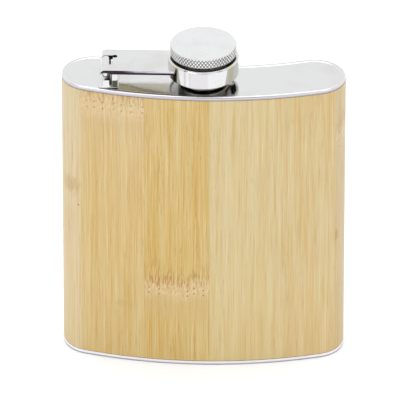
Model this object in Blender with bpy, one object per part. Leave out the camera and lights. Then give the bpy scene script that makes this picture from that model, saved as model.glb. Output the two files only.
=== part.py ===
"""Stainless steel hip flask with a bamboo wrap and a captive screw cap on a hinged arm.

Metres, +Z up, +X to the right and +Y to the back. The origin is on the surface that the flask
stands on, at the centre of its footprint. The flask's plan is a bar bent round a vertical axis
behind it, so its front is convex and its back is hollowed to sit against the hip.
"""

import math

import bmesh
import bpy

MM = 0.001

# Driving dimensions -------------------------------------------------------------------------

WIDTH = 95.0 * MM                # across the flask, X
THICKNESS = 21.0 * MM            # from the convex face to the hollow face
BEND_RADIUS = 130.0 * MM         # of the plan's centre line
SHOULDER_Z = 104.25 * MM         # top edge of the bamboo
GLUE = 0.15 * MM                 # gap left between pieces that are glued, welded or pressed
CLEARANCE = 0.3 * MM             # gap between a moving piece and what it rests on

VENEER = 0.9 * MM                # thickness of the bamboo
STRIP_WIDTH = 21.8 * MM          # of one bamboo strip, measured round the flask
STRIP_COUNT = 10                 # the last one is the narrower closing strip at the back
FIRST_SEAM = 2.3 * MM            # from the middle of the front to the nearest seam
SEAM = 0.12 * MM                 # gap between two strips

WALL = 0.6 * MM                  # sheet of the steel body
RIM_INSET = 0.1 * MM             # the steel rims are this much inside the bamboo
BASE_LIP = 1.45 * MM             # height of the base rim
TOP_LIP = 1.45 * MM              # height of the top rim above the bamboo
RIM_BEVEL = 0.6 * MM
RIM_FLAT = 1.35 * MM             # from the outline to the inner edge of the top rim
PANEL_DROP = 0.15 * MM           # the top panel is this much below its rim
PANEL = 0.8 * MM                 # thickness of the top and base panels
SKIRT = 0.6 * MM                 # wall of the skirts that plug into the body
SKIRT_DEPTH = 1.2 * MM
FOOT_WIDTH = 3.0 * MM            # of the flat ring that the flask stands on
FOOT_BEVEL = 0.3 * MM
BASE_RECESS = 0.7 * MM

COLLAR_RADIUS = 11.85 * MM
COLLAR_OVERHANG = 0.2 * MM       # of the collar past the flask's front
COLLAR_BOTTOM = SHOULDER_Z + 4.55 * MM
COLLAR_TOP = SHOULDER_Z + 11.0 * MM
COLLAR_ROUND = 0.8 * MM
COLLAR_CHAMFER = 0.35 * MM
COLLAR_WALL = 0.8 * MM

NECK_BORE_RADIUS = 5.2 * MM
NECK_ROOT_RADIUS = 5.9 * MM
NECK_CREST_RADIUS = 6.6 * MM
NECK_TOP = SHOULDER_Z + 11.1 * MM
THREAD_PITCH = 1.5 * MM
THREAD_TURNS = 4

BARREL_RADIUS = 9.3 * MM
BARREL_END_RADIUS = 8.5 * MM      # below the clip's groove
BARREL_END_TAPER = 0.5 * MM
BARREL_BORE_RADIUS = 7.6 * MM
BARREL_CREST_RADIUS = 7.15 * MM
BARREL_BOTTOM = SHOULDER_Z + 2.0 * MM
BARREL_LID = 1.2 * MM
CAP_LIFT = 2.5 * THREAD_PITCH     # travel of the cap in the collar

HEAD_RADIUS = 11.1 * MM
HEAD_BOTTOM = SHOULDER_Z + 12.05 * MM
HEAD_TOP = SHOULDER_Z + 15.55 * MM
HEAD_LID = 1.15 * MM
HEAD_BEVEL = 0.25 * MM
KNURL_TEETH = 64
KNURL_DEPTH = 0.25 * MM
GASKET = 1.5 * MM
GASKET_RADIUS = 7.2 * MM

CLIP = 0.8 * MM                  # thickness of the retaining clip
CLIP_RADIUS = 10.8 * MM
CLIP_GROOVE_RADIUS = 8.05 * MM
CLIP_GAP_ANGLE = math.radians(36)

PIN_X = -32.5 * MM
PIN_Z = SHOULDER_Z + 6.8 * MM
PIN_RADIUS = 0.75 * MM
PIN_BORE_RADIUS = 0.85 * MM
KNUCKLE_RADIUS = 1.75 * MM
ARM_WIDTH = 13.9 * MM
ARM_PLATE = 1.5 * MM
KNUCKLE_WIDTH = 5.6 * MM         # of the bracket's knuckle, between the arm's two
KNUCKLE_GAP = 0.15 * MM
CUTOUT_REACH = 2.3 * MM          # from the pin's axis to the inner edge of the arm's cut-out
RELIEF_RADIUS = 0.9 * MM

BRACKET_WIDTH = 13.5 * MM
REST_LENGTH = 9.6 * MM           # of the rest, along the pin
BRACKET_FOOT = 0.6 * MM
BRACKET_EDGE = 0.2 * MM          # the foot shows this much beside the rest
BRACKET_LEFT = 2.3 * MM          # from the pin's axis to the foot's left end
BRACKET_RIGHT = 4.4 * MM         # from the pin's axis to the rest's right side
RIB_LEFT = 0.9 * MM              # the rib under the pin, left and right of its axis
RIB_RIGHT = 1.5 * MM
REST_WIDTH = 2.1 * MM            # of the rest that the arm lies on, across the pin

ROUND_SEGMENTS = 48
SMALL_SEGMENTS = 24

# Plan of the flask --------------------------------------------------------------------------

HALF = THICKNESS / 2
END_X = WIDTH / 2 - HALF
BEND_ANGLE = math.asin(END_X / BEND_RADIUS)
END_Y = BEND_RADIUS * (1 - math.cos(BEND_ANGLE))
PLAN_SHIFT = -(END_Y - COLLAR_OVERHANG) / 2
FRONT_RADIUS = BEND_RADIUS + HALF
BACK_RADIUS = BEND_RADIUS - HALF
HALF_FRONT = FRONT_RADIUS * BEND_ANGLE
END_LENGTH = math.pi * HALF
BACK_LENGTH = 2 * BACK_RADIUS * BEND_ANGLE
PERIMETER = 2 * HALF_FRONT + 2 * END_LENGTH + BACK_LENGTH

FRONT_Y = PLAN_SHIFT - HALF
NECK_Y = FRONT_Y + COLLAR_RADIUS - COLLAR_OVERHANG

SLEEVE_OUTSIDE = VENEER + GLUE
SLEEVE_INSIDE = SLEEVE_OUTSIDE + WALL
SKIRT_OUTSIDE = SLEEVE_INSIDE + GLUE
PLATE_Z = SHOULDER_Z + TOP_LIP - PANEL_DROP
BASE_PANEL_TOP = BASE_RECESS + PANEL


def on_arc(centre_x, centre_y, radius, angle):
    """A point of a circle, with the angle counted anticlockwise from straight ahead (-Y)."""
    return (centre_x + radius * math.sin(angle),
            centre_y - radius * math.cos(angle) + PLAN_SHIFT)


def plan_point(distance, inset):
    """The plan's outline, inset, at a distance anticlockwise from the middle of the front."""
    s = (distance + HALF_FRONT) % PERIMETER - HALF_FRONT
    if s <= HALF_FRONT:
        return on_arc(0, BEND_RADIUS, FRONT_RADIUS - inset, s / FRONT_RADIUS)
    s -= HALF_FRONT
    if s <= END_LENGTH:
        return on_arc(END_X, END_Y, HALF - inset, BEND_ANGLE + s / HALF)
    s -= END_LENGTH
    if s <= BACK_LENGTH:
        return on_arc(0, BEND_RADIUS, BACK_RADIUS + inset, BEND_ANGLE - s / BACK_RADIUS)
    s -= BACK_LENGTH
    return on_arc(-END_X, END_Y, HALF - inset, math.pi - BEND_ANGLE + s / HALF)


def corner_distances():
    """Where the outline passes from one arc to the next."""
    first = HALF_FRONT
    second = first + END_LENGTH
    third = second + BACK_LENGTH
    return (-first, first, second, third, PERIMETER - first)


def outline_distances(start, end):
    """Distances from start to end, dense on the round ends and sparse on the long faces."""
    corners = corner_distances()
    shifted = [c + turn * PERIMETER for turn in (-1, 0, 1) for c in corners[:4]]
    stops = sorted({start, end, *(c for c in shifted if start < c < end)})
    distances = []
    for a, b in zip(stops, stops[1:]):
        middle = ((a + b) / 2 + HALF_FRONT) % PERIMETER - HALF_FRONT
        on_back = corners[2] < middle < corners[3]
        on_face = middle < corners[1] or on_back
        step = 5.0 * MM if on_face else 2.6 * MM
        count = max(1, math.ceil((b - a) / step))
        distances += [a + (b - a) * i / count for i in range(count)]
    return distances + [end]


FULL_OUTLINE = outline_distances(-HALF_FRONT, PERIMETER - HALF_FRONT)[:-1]


def plan_loop(inset, z):
    return [(*plan_point(s, inset), z) for s in FULL_OUTLINE]


# Mesh tools ---------------------------------------------------------------------------------

def clear_scene():
    for obj in list(bpy.data.objects):
        bpy.data.objects.remove(obj, do_unlink=True)


def steel(name, color, roughness):
    material = bpy.data.materials.new(name)
    material.use_nodes = True
    shader = material.node_tree.nodes["Principled BSDF"]
    shader.inputs["Base Color"].default_value = (*color, 1)
    shader.inputs["Roughness"].default_value = roughness
    shader.inputs["Metallic"].default_value = 1
    return material


def nonmetal(name, color, roughness):
    material = steel(name, color, roughness)
    material.node_tree.nodes["Principled BSDF"].inputs["Metallic"].default_value = 0
    return material


def finish_mesh(name, bm, material, sharp_angle=35):
    """Turns a bmesh into a named object with outward faces and smooth round surfaces."""
    bmesh.ops.recalc_face_normals(bm, faces=bm.faces)
    mesh = bpy.data.meshes.new(name)
    bm.to_mesh(mesh)
    bm.free()
    mesh.shade_smooth()
    mesh.set_sharp_from_angle(angle=math.radians(sharp_angle))
    if material:
        mesh.materials.append(material)
    obj = bpy.data.objects.new(name, mesh)
    bpy.context.scene.collection.objects.link(obj)
    return obj


def lofted(name, loops, material, closed):
    """Skins equal loops of points. closed joins the last to the first, or else both are capped."""
    bm = bmesh.new()
    rows = [[bm.verts.new(point) for point in loop] for loop in loops]
    pairs = list(zip(rows, rows[1:]))
    if closed:
        pairs.append((rows[-1], rows[0]))
    else:
        bm.faces.new(rows[0])
        bm.faces.new(rows[-1])
    for low, high in pairs:
        for i, vert in enumerate(low):
            j = (i + 1) % len(low)
            bm.faces.new((vert, low[j], high[j], high[i]))
    return finish_mesh(name, bm, material)


def circle(radius, z, segments=ROUND_SEGMENTS):
    return [(radius * math.cos(math.tau * i / segments), radius * math.sin(math.tau * i / segments), z)
            for i in range(segments)]


def turned_ring(name, profile, material, segments=ROUND_SEGMENTS):
    """A ring whose closed (radius, z) profile is turned round the Z axis."""
    return lofted(name, [circle(r, z, segments) for r, z in profile], material, closed=True)


def turned_solid(name, profile, material, segments=ROUND_SEGMENTS):
    """A solid whose (radius, z) profile is turned round Z and closed by a disc at each end."""
    return lofted(name, [circle(r, z, segments) for r, z in profile], material, closed=False)


def extruded(name, outline, axis, low, high, material):
    """A closed outline swept along Y or Z. The outline is (x, z) along Y and (x, y) along Z."""
    if axis == "Y":
        loops = [[(x, level, z) for x, z in outline] for level in (low, high)]
    else:
        loops = [[(x, y, level) for x, y in outline] for level in (low, high)]
    return lofted(name, loops, material, closed=False)


def rectangle(left, right, low, high):
    return [(left, low), (right, low), (right, high), (left, high)]


def disc(radius, centre=(0, 0), segments=SMALL_SEGMENTS):
    return [(centre[0] + radius * math.cos(math.tau * (i + 0.5) / segments),
             centre[1] + radius * math.sin(math.tau * (i + 0.5) / segments))
            for i in range(segments)]


def guide(obj):
    """Marks an object as construction geometry, which isn't part of the flask."""
    obj.hide_render = True
    obj.display_type = "WIRE"
    return obj


def combine(obj, other, operation):
    modifier = obj.modifiers.new(other.name, "BOOLEAN")
    modifier.operation = operation
    modifier.solver = "EXACT"
    modifier.object = guide(other)


def place(obj, parent=None, location=(0, 0, 0)):
    obj.parent = parent
    obj.location = location
    return obj


def empty(name, location, parent=None):
    obj = bpy.data.objects.new(name, None)
    obj.empty_display_size = 0.01
    bpy.context.scene.collection.objects.link(obj)
    return place(obj, parent, location)


def thread_profile(bottom, crest, root):
    """(radius, z) points up a thread, drawn as rings one pitch apart, starting and ending at root."""
    points = []
    for turn in range(THREAD_TURNS):
        z = bottom + turn * THREAD_PITCH
        points += [(root, z), (crest, z + 0.45 * THREAD_PITCH), (root, z + 0.9 * THREAD_PITCH)]
    return points


# Body ---------------------------------------------------------------------------------------

def build_body_sleeve(material):
    low = BASE_LIP + GLUE
    corners = [(SLEEVE_OUTSIDE, low), (SLEEVE_OUTSIDE, SHOULDER_Z),
               (SLEEVE_INSIDE, SHOULDER_Z), (SLEEVE_INSIDE, low)]
    return lofted("body_sleeve", [plan_loop(i, z) for i, z in corners], material, closed=True)


def build_top_plate(material):
    rim_top = SHOULDER_Z + TOP_LIP
    rim_bottom = SHOULDER_Z + GLUE
    skirt_bottom = rim_bottom - SKIRT_DEPTH
    corners = [
        (RIM_FLAT + PANEL_DROP, PLATE_Z),
        (RIM_FLAT, rim_top),
        (RIM_INSET + RIM_BEVEL, rim_top),
        (RIM_INSET, rim_top - RIM_BEVEL),
        (RIM_INSET, rim_bottom),
        (SKIRT_OUTSIDE, rim_bottom),
        (SKIRT_OUTSIDE, skirt_bottom),
        (SKIRT_OUTSIDE + SKIRT, skirt_bottom),
        (SKIRT_OUTSIDE + SKIRT, PLATE_Z - PANEL),
    ]
    plate = lofted("top_plate", [plan_loop(i, z) for i, z in corners], material, closed=False)
    hole = extruded("neck_hole_cutter", disc(NECK_ROOT_RADIUS + GLUE, segments=ROUND_SEGMENTS),
                    "Z", skirt_bottom - CLEARANCE, rim_top + CLEARANCE, None)
    place(hole, location=(0, NECK_Y, 0))
    combine(plate, hole, "DIFFERENCE")
    return plate


def build_base_plate(material):
    skirt_top = BASE_LIP + SKIRT_DEPTH
    corners = [
        (FOOT_WIDTH, BASE_RECESS),
        (FOOT_WIDTH, 0),
        (RIM_INSET + FOOT_BEVEL, 0),
        (RIM_INSET, FOOT_BEVEL),
        (RIM_INSET, BASE_LIP),
        (SKIRT_OUTSIDE, BASE_LIP),
        (SKIRT_OUTSIDE, skirt_top),
        (SKIRT_OUTSIDE + SKIRT, skirt_top),
        (SKIRT_OUTSIDE + SKIRT, BASE_PANEL_TOP),
    ]
    return lofted("base_plate", [plan_loop(i, z) for i, z in corners], material, closed=False)


def build_neck(material):
    bottom = SHOULDER_Z + GLUE - SKIRT_DEPTH
    thread_bottom = NECK_TOP - (THREAD_TURNS + 0.2) * THREAD_PITCH
    lip = 0.25 * MM
    profile = [(NECK_BORE_RADIUS, bottom), (NECK_ROOT_RADIUS, bottom)]
    profile += thread_profile(thread_bottom, NECK_CREST_RADIUS, NECK_ROOT_RADIUS)
    profile += [(NECK_ROOT_RADIUS, NECK_TOP - lip), (NECK_ROOT_RADIUS - lip, NECK_TOP),
                (NECK_BORE_RADIUS, NECK_TOP)]
    neck = turned_ring("neck_spout", profile, material)
    return place(neck, location=(0, NECK_Y, 0))


def build_bamboo_strip(number, start, end, material):
    """One strip of the wrap, bent to the outline between two distances round the flask."""
    distances = outline_distances(start + SEAM / 2, end - SEAM / 2)
    outside = [plan_point(s, 0) for s in distances]
    inside = [plan_point(s, VENEER) for s in reversed(distances)]
    return extruded(f"bamboo_strip_{number:02d}", outside + inside, "Z",
                    BASE_LIP + GLUE, SHOULDER_Z, material)


def build_bamboo_wrap(material):
    first = FIRST_SEAM - STRIP_COUNT // 2 * STRIP_WIDTH
    start = first
    for number in range(1, STRIP_COUNT + 1):
        end = start + STRIP_WIDTH
        if number == STRIP_COUNT:
            end = first + PERIMETER
        build_bamboo_strip(number, start, end, material)
        start = end


# Hinge --------------------------------------------------------------------------------------

def build_bracket(material):
    """A foot on the top plate, a rib up to the pin's knuckle and a rest for the arm."""
    foot_low = PLATE_Z + GLUE - PIN_Z
    foot_high = foot_low + BRACKET_FOOT
    rib_top = -KNUCKLE_RADIUS - CLEARANCE
    side = [
        (-BRACKET_LEFT, foot_low), (BRACKET_RIGHT, foot_low),
        (BRACKET_RIGHT, foot_high), (RIB_RIGHT, foot_high),
        (RIB_RIGHT, rib_top), (-RIB_LEFT, rib_top),
        (-RIB_LEFT, foot_high), (-BRACKET_LEFT, foot_high),
    ]
    half = BRACKET_WIDTH / 2
    bracket = extruded("hinge_bracket", side, "Y", -half, half, material)
    location = (PIN_X, NECK_Y, PIN_Z)
    place(bracket, location=location)

    reach = KNUCKLE_WIDTH / 2
    knuckle = extruded("bracket_knuckle_guide", disc(KNUCKLE_RADIUS), "Y", -reach, reach, None)
    web_side = rectangle(-RIB_LEFT * 0.9, RIB_RIGHT * 0.9, foot_low * 0.9, -PIN_BORE_RADIUS)
    web = extruded("bracket_web_guide", web_side, "Y", -reach, reach, None)
    rest_top = KNUCKLE_RADIUS - ARM_PLATE - CLEARANCE
    rest_right = BRACKET_RIGHT - BRACKET_EDGE
    rest_side = rectangle(rest_right - REST_WIDTH, rest_right, foot_low * 0.9, rest_top)
    rest = extruded("bracket_rest_guide", rest_side, "Y", -REST_LENGTH / 2, REST_LENGTH / 2, None)
    bore = extruded("bracket_bore_cutter", disc(PIN_BORE_RADIUS), "Y", -half, half, None)
    for tool in (knuckle, web, rest, bore):
        place(tool, location=location)
    combine(bracket, web, "UNION")
    combine(bracket, rest, "UNION")
    combine(bracket, knuckle, "UNION")
    combine(bracket, bore, "DIFFERENCE")
    return bracket


def build_pin(material):
    half = ARM_WIDTH / 2 - 0.2 * MM
    pin = extruded("hinge_pin", disc(PIN_RADIUS), "Y", -half, half, material)
    return place(pin, location=(PIN_X, NECK_Y, PIN_Z))


def build_arm_plate(material, pivot):
    """The arm from its curled knuckles to the collar, drawn from the pin's axis."""
    half = ARM_WIDTH / 2
    notch = KNUCKLE_WIDTH / 2 + KNUCKLE_GAP
    low = KNUCKLE_RADIUS - ARM_PLATE
    high = KNUCKLE_RADIUS
    collar_x = -PIN_X
    outline = [
        (0, -half), (collar_x, -half), (collar_x, half), (0, half),
        (0, notch), (CUTOUT_REACH, notch), (CUTOUT_REACH, -notch), (0, -notch),
    ]
    plate = extruded("arm_plate", outline, "Z", low, high, material)
    place(plate, pivot)
    tools = []
    for name, start, end in (("front", -half, -notch), ("rear", notch, half)):
        curl = extruded(f"{name}_curl_guide", disc(KNUCKLE_RADIUS), "Y", start, end, None)
        tools.append((curl, "UNION"))
    bore = extruded("arm_bore_cutter", disc(PIN_BORE_RADIUS), "Y", -half - MM, half + MM, None)
    relief_centre = (CUTOUT_REACH + 0.6 * MM, notch - 0.5 * MM)
    relief = extruded("relief_hole_cutter", disc(RELIEF_RADIUS, relief_centre),
                      "Z", low - MM, high + MM, None)
    collar_side = disc(COLLAR_RADIUS + GLUE, (collar_x, 0), ROUND_SEGMENTS)
    collar = extruded("collar_seat_cutter", collar_side, "Z", low - MM, high + MM, None)
    tools += [(bore, "DIFFERENCE"), (relief, "DIFFERENCE"), (collar, "DIFFERENCE")]
    for tool, operation in tools:
        place(tool, pivot)
        combine(plate, tool, operation)
    return plate


def build_arm_collar(material, pivot):
    shelf_radius = BARREL_RADIUS + CLEARANCE
    inside = COLLAR_RADIUS - COLLAR_WALL
    shelf_z = COLLAR_BOTTOM + CLEARANCE + CLIP + CAP_LIFT + GLUE
    profile = [
        (inside, COLLAR_BOTTOM),
        (COLLAR_RADIUS - COLLAR_ROUND * 0.7, COLLAR_BOTTOM),
        (COLLAR_RADIUS - COLLAR_ROUND * 0.3, COLLAR_BOTTOM + COLLAR_ROUND * 0.3),
        (COLLAR_RADIUS, COLLAR_BOTTOM + COLLAR_ROUND),
        (COLLAR_RADIUS, COLLAR_TOP - COLLAR_CHAMFER),
        (COLLAR_RADIUS - COLLAR_CHAMFER, COLLAR_TOP),
        (shelf_radius, COLLAR_TOP),
        (shelf_radius, shelf_z),
        (inside, shelf_z),
    ]
    collar = turned_ring("arm_collar", profile, material)
    return place(collar, pivot, (-PIN_X, 0, -PIN_Z))


# Cap ----------------------------------------------------------------------------------------

def knurled_circle(radius, depth, z):
    """A circle with vertical ribs, two points to each rib."""
    count = 2 * KNURL_TEETH
    points = []
    for i in range(count):
        r = radius - depth * (i % 2)
        angle = math.tau * i / count
        points.append((r * math.cos(angle), r * math.sin(angle), z))
    return points


def build_cap_head(material, axis):
    pocket = BARREL_RADIUS + GLUE
    edge = HEAD_RADIUS - KNURL_DEPTH
    loops = [
        knurled_circle(pocket, 0, HEAD_TOP - HEAD_LID),
        knurled_circle(pocket, 0, HEAD_BOTTOM),
        knurled_circle(edge - HEAD_BEVEL, 0, HEAD_BOTTOM),
        knurled_circle(HEAD_RADIUS, KNURL_DEPTH, HEAD_BOTTOM + HEAD_BEVEL),
        knurled_circle(HEAD_RADIUS, KNURL_DEPTH, HEAD_TOP - HEAD_BEVEL),
        knurled_circle(edge - HEAD_BEVEL, 0, HEAD_TOP),
    ]
    head = lofted("cap_head", loops, material, closed=False)
    return place(head, axis)


def build_cap_barrel(material, axis):
    """The threaded sleeve under the head: open below, with a lid that backs the gasket."""
    top = HEAD_TOP - HEAD_LID - GLUE
    lid_bottom = top - BARREL_LID
    groove_low = COLLAR_BOTTOM
    groove_high = groove_low + CLIP + 2 * CLEARANCE
    thread_bottom = BARREL_BOTTOM + THREAD_PITCH
    profile = [
        (BARREL_RADIUS, top),
        (BARREL_RADIUS, groove_high),
        (CLIP_GROOVE_RADIUS, groove_high),
        (CLIP_GROOVE_RADIUS, groove_low),
        (BARREL_END_RADIUS, groove_low),
        (BARREL_END_RADIUS, BARREL_BOTTOM + BARREL_END_TAPER),
        (BARREL_END_RADIUS - BARREL_END_TAPER, BARREL_BOTTOM),
        (BARREL_BORE_RADIUS, BARREL_BOTTOM),
    ]
    profile += thread_profile(thread_bottom, BARREL_CREST_RADIUS, BARREL_BORE_RADIUS)
    profile.append((BARREL_BORE_RADIUS, lid_bottom))
    return place(turned_solid("cap_barrel", profile, material), axis)


def build_gasket(material, axis):
    lid_bottom = HEAD_TOP - HEAD_LID - GLUE - BARREL_LID
    top = lid_bottom - GLUE
    profile = [(GASKET_RADIUS, top), (GASKET_RADIUS, top - GASKET)]
    return place(turned_solid("cap_gasket", profile, material), axis)


def build_retaining_clip(material, axis):
    """An open ring in the barrel's groove. It meets the collar's shelf when the cap is lifted."""
    inner = CLIP_GROOVE_RADIUS + GLUE
    steps = 36
    sweep = math.tau - CLIP_GAP_ANGLE
    angles = [CLIP_GAP_ANGLE / 2 + sweep * i / steps for i in range(steps + 1)]
    outline = [(CLIP_RADIUS * math.cos(a), CLIP_RADIUS * math.sin(a)) for a in angles]
    outline += [(inner * math.cos(a), inner * math.sin(a)) for a in reversed(angles)]
    low = COLLAR_BOTTOM + CLEARANCE
    clip = extruded("retaining_clip", outline, "Z", low, low + CLIP, material)
    return place(clip, axis)


def main():
    clear_scene()
    polished = steel("polished_steel", (0.78, 0.78, 0.79), 0.08)
    brushed = steel("brushed_steel", (0.72, 0.72, 0.73), 0.28)
    knurled = steel("knurled_steel", (0.70, 0.70, 0.71), 0.22)
    bamboo = nonmetal("bamboo", (0.70, 0.49, 0.23), 0.45)
    rubber = nonmetal("gasket_rubber", (0.75, 0.75, 0.73), 0.6)

    build_body_sleeve(brushed)
    build_top_plate(polished)
    build_base_plate(polished)
    build_neck(polished)
    build_bamboo_wrap(bamboo)

    build_bracket(polished)
    build_pin(brushed)
    arm_pivot = empty("arm_pivot", (PIN_X, NECK_Y, PIN_Z))
    build_arm_plate(polished, arm_pivot)
    build_arm_collar(polished, arm_pivot)

    cap_axis = empty("cap_axis", (-PIN_X, 0, -PIN_Z), arm_pivot)
    build_cap_head(knurled, cap_axis)
    build_cap_barrel(polished, cap_axis)
    build_gasket(rubber, cap_axis)
    build_retaining_clip(brushed, cap_axis)


main()
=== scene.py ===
import math

import bmesh
import bpy
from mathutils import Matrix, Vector


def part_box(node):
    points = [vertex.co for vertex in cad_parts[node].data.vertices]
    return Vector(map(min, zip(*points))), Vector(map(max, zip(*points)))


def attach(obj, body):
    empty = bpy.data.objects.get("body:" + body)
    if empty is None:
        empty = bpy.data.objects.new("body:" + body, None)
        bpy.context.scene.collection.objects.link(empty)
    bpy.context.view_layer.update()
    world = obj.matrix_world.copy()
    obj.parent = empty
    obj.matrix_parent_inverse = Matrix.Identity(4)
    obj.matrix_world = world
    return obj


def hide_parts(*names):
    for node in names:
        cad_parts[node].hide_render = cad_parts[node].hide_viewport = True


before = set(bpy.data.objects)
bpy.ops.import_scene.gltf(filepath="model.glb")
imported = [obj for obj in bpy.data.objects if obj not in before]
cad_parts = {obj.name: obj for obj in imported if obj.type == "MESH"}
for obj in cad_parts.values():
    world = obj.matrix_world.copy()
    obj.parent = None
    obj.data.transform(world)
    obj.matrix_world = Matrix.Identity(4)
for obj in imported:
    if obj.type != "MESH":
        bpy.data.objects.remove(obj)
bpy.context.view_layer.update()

MM = 0.001

# Plan of the flask: a bar bent round a vertical axis behind it ------

WIDTH = 95.0 * MM
THICKNESS = 21.0 * MM
BEND_RADIUS = 130.0 * MM
COLLAR_OVERHANG = 0.2 * MM
STRIP_WIDTH = 21.8 * MM
STRIP_COUNT = 10
FIRST_SEAM = 2.3 * MM

HALF = THICKNESS / 2
END_X = WIDTH / 2 - HALF
BEND_ANGLE = math.asin(END_X / BEND_RADIUS)
END_Y = BEND_RADIUS * (1 - math.cos(BEND_ANGLE))
PLAN_SHIFT = -(END_Y - COLLAR_OVERHANG) / 2
FRONT_RADIUS = BEND_RADIUS + HALF
BACK_RADIUS = BEND_RADIUS - HALF
HALF_FRONT = FRONT_RADIUS * BEND_ANGLE
END_LENGTH = math.pi * HALF
BACK_LENGTH = 2 * BACK_RADIUS * BEND_ANGLE
PERIMETER = 2 * HALF_FRONT + 2 * END_LENGTH + BACK_LENGTH

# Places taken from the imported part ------

strip_low, strip_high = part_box("bamboo_strip_05")
plate_low, plate_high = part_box("top_plate")
base_low, base_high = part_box("base_plate")
collar_low, collar_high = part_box("arm_collar")
head_low, head_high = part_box("cap_head")
barrel_low, barrel_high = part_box("cap_barrel")
gasket_low, gasket_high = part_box("cap_gasket")
clip_low, clip_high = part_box("retaining_clip")
neck_low, neck_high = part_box("neck_spout")
arm_low, arm_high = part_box("arm_plate")
pin_low, pin_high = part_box("hinge_pin")
bracket_low, bracket_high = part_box("hinge_bracket")

SHOULDER_Z = strip_high.z
TOP = SHOULDER_Z / MM  # of the bamboo, in millimetres for the materials
HEAD_TOP = head_high.z / MM
AXIS = Vector(((collar_low.x + collar_high.x) / 2, (collar_low.y + collar_high.y) / 2, 0))
PIN = (pin_low + pin_high) / 2
COLLAR_RADIUS = (collar_high.x - collar_low.x) / 2
HEAD_RADIUS = (head_high.x - head_low.x) / 2
PLATE_Z = plate_high.z - 0.15 * MM  # the lid's flat panel, below its rim
KNUCKLE_RADIUS = arm_high.z - PIN.z
ARM_HALF = (arm_high.y - arm_low.y) / 2
NECK_RADIUS = (neck_high.x - neck_low.x) / 2
NECK_ROOT = NECK_RADIUS - 0.7 * MM  # at the bottom of its thread

# Sizes that the shapes and the materials share

PLATE_UNDER = 0.25 * MM  # underside of the arm above the pin's axis
UNDERSIDE = (PLATE_UNDER + 0.15 * MM) / MM  # where the painted reflection on its underside ends, in millimetres
CUTOUT_REACH = 2.3 * MM  # of the arm's gap for the bracket's knuckle
KNURL_DEPTH = 0.28 * MM


def on_arc(centre_x, centre_y, radius, angle):
    """A point of the plan, at an angle from the front of an arc about a centre."""
    return (centre_x + radius * math.sin(angle),
            centre_y - radius * math.cos(angle) + PLAN_SHIFT)


def plan_point(distance, inset):
    """The flask's outline, inset, at a distance anticlockwise from the middle of the front."""
    s = (distance + HALF_FRONT) % PERIMETER - HALF_FRONT
    if s <= HALF_FRONT:
        return on_arc(0, BEND_RADIUS, FRONT_RADIUS - inset, s / FRONT_RADIUS)
    s -= HALF_FRONT
    if s <= END_LENGTH:
        return on_arc(END_X, END_Y, HALF - inset, BEND_ANGLE + s / HALF)
    s -= END_LENGTH
    if s <= BACK_LENGTH:
        return on_arc(0, BEND_RADIUS, BACK_RADIUS + inset, BEND_ANGLE - s / BACK_RADIUS)
    s -= BACK_LENGTH
    return on_arc(-END_X, END_Y, HALF - inset, math.pi - BEND_ANGLE + s / HALF)


OUTLINE_STEPS = 260
OUTLINE = [PERIMETER * i / OUTLINE_STEPS for i in range(OUTLINE_STEPS)]


def plan_loop(inset, z):
    return [(*plan_point(s, inset), z) for s in OUTLINE]


def hole_loop(radius, z):
    """A circle round the neck with one point straight inwards from each point of the outline."""
    loop = []
    for s in OUTLINE:
        x, y = plan_point(s, 0)
        angle = math.atan2(y - AXIS.y, x - AXIS.x)
        loop.append((AXIS.x + radius * math.cos(angle), AXIS.y + radius * math.sin(angle), z))
    return loop


# Mesh tools -------------------------

def rounded(corners, steps=4):
    """Points of a closed outline whose corners (a, b, radius) are rounded by arcs."""
    points = []
    for i, (a, b, radius) in enumerate(corners):
        here = Vector((a, b))
        if radius == 0:
            points.append((a, b))
            continue
        before = Vector(corners[i - 1][:2]) - here
        after = Vector(corners[(i + 1) % len(corners)][:2]) - here
        half_turn = before.angle(after) / 2
        reach = min(radius / math.tan(half_turn), before.length * 0.49, after.length * 0.49)
        radius = reach * math.tan(half_turn)
        middle = (before.normalized() + after.normalized()).normalized()
        centre = here + middle * radius / math.sin(half_turn)
        first = here + before.normalized() * reach - centre
        last = here + after.normalized() * reach - centre
        start = math.atan2(first.y, first.x)
        sweep = math.remainder(math.atan2(last.y, last.x) - start, math.tau)
        for k in range(steps + 1):
            angle = start + sweep * k / steps
            points.append((centre.x + radius * math.cos(angle),
                           centre.y + radius * math.sin(angle)))
    return points


def make_object(name, bm, material, sharp_angle=32):
    bmesh.ops.recalc_face_normals(bm, faces=bm.faces)
    mesh = bpy.data.meshes.new(name)
    bm.to_mesh(mesh)
    bm.free()
    mesh.shade_smooth()
    mesh.set_sharp_from_angle(angle=math.radians(sharp_angle))
    obj = bpy.data.objects.new(name, mesh)
    bpy.context.scene.collection.objects.link(obj)
    if material:
        mesh.materials.append(material)
    return obj


def add_rows(bm, rows, closed):
    """Skins equal loops of points. closed joins the last to the first, or else both are capped."""
    verts = [[bm.verts.new(point) for point in row] for row in rows]
    pairs = list(zip(verts, verts[1:]))
    if closed:
        pairs.append((verts[-1], verts[0]))
    else:
        bm.faces.new(verts[0])
        bm.faces.new(verts[-1])
    for low, high in pairs:
        for i, vert in enumerate(low):
            j = (i + 1) % len(low)
            bm.faces.new((vert, low[j], high[j], high[i]))


def skinned(name, rows, closed, material):
    bm = bmesh.new()
    add_rows(bm, rows, closed)
    return smooth(make_object(name, bm, material))


def smooth(obj):
    """Keeps flat faces flat in the shading, beside their rounded edges."""
    modifier = obj.modifiers.new("weighted_normals", "WEIGHTED_NORMAL")
    modifier.keep_sharp = True
    modifier.weight = 60
    return obj


def circle(radius, z, segments):
    """A circle round the cap's axis. radius is a number or a function of the angle and height."""
    loop = []
    for i in range(segments):
        angle = math.tau * i / segments
        r = radius(angle, z) if callable(radius) else radius
        loop.append((AXIS.x + r * math.cos(angle), AXIS.y + r * math.sin(angle), z))
    return loop


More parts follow.
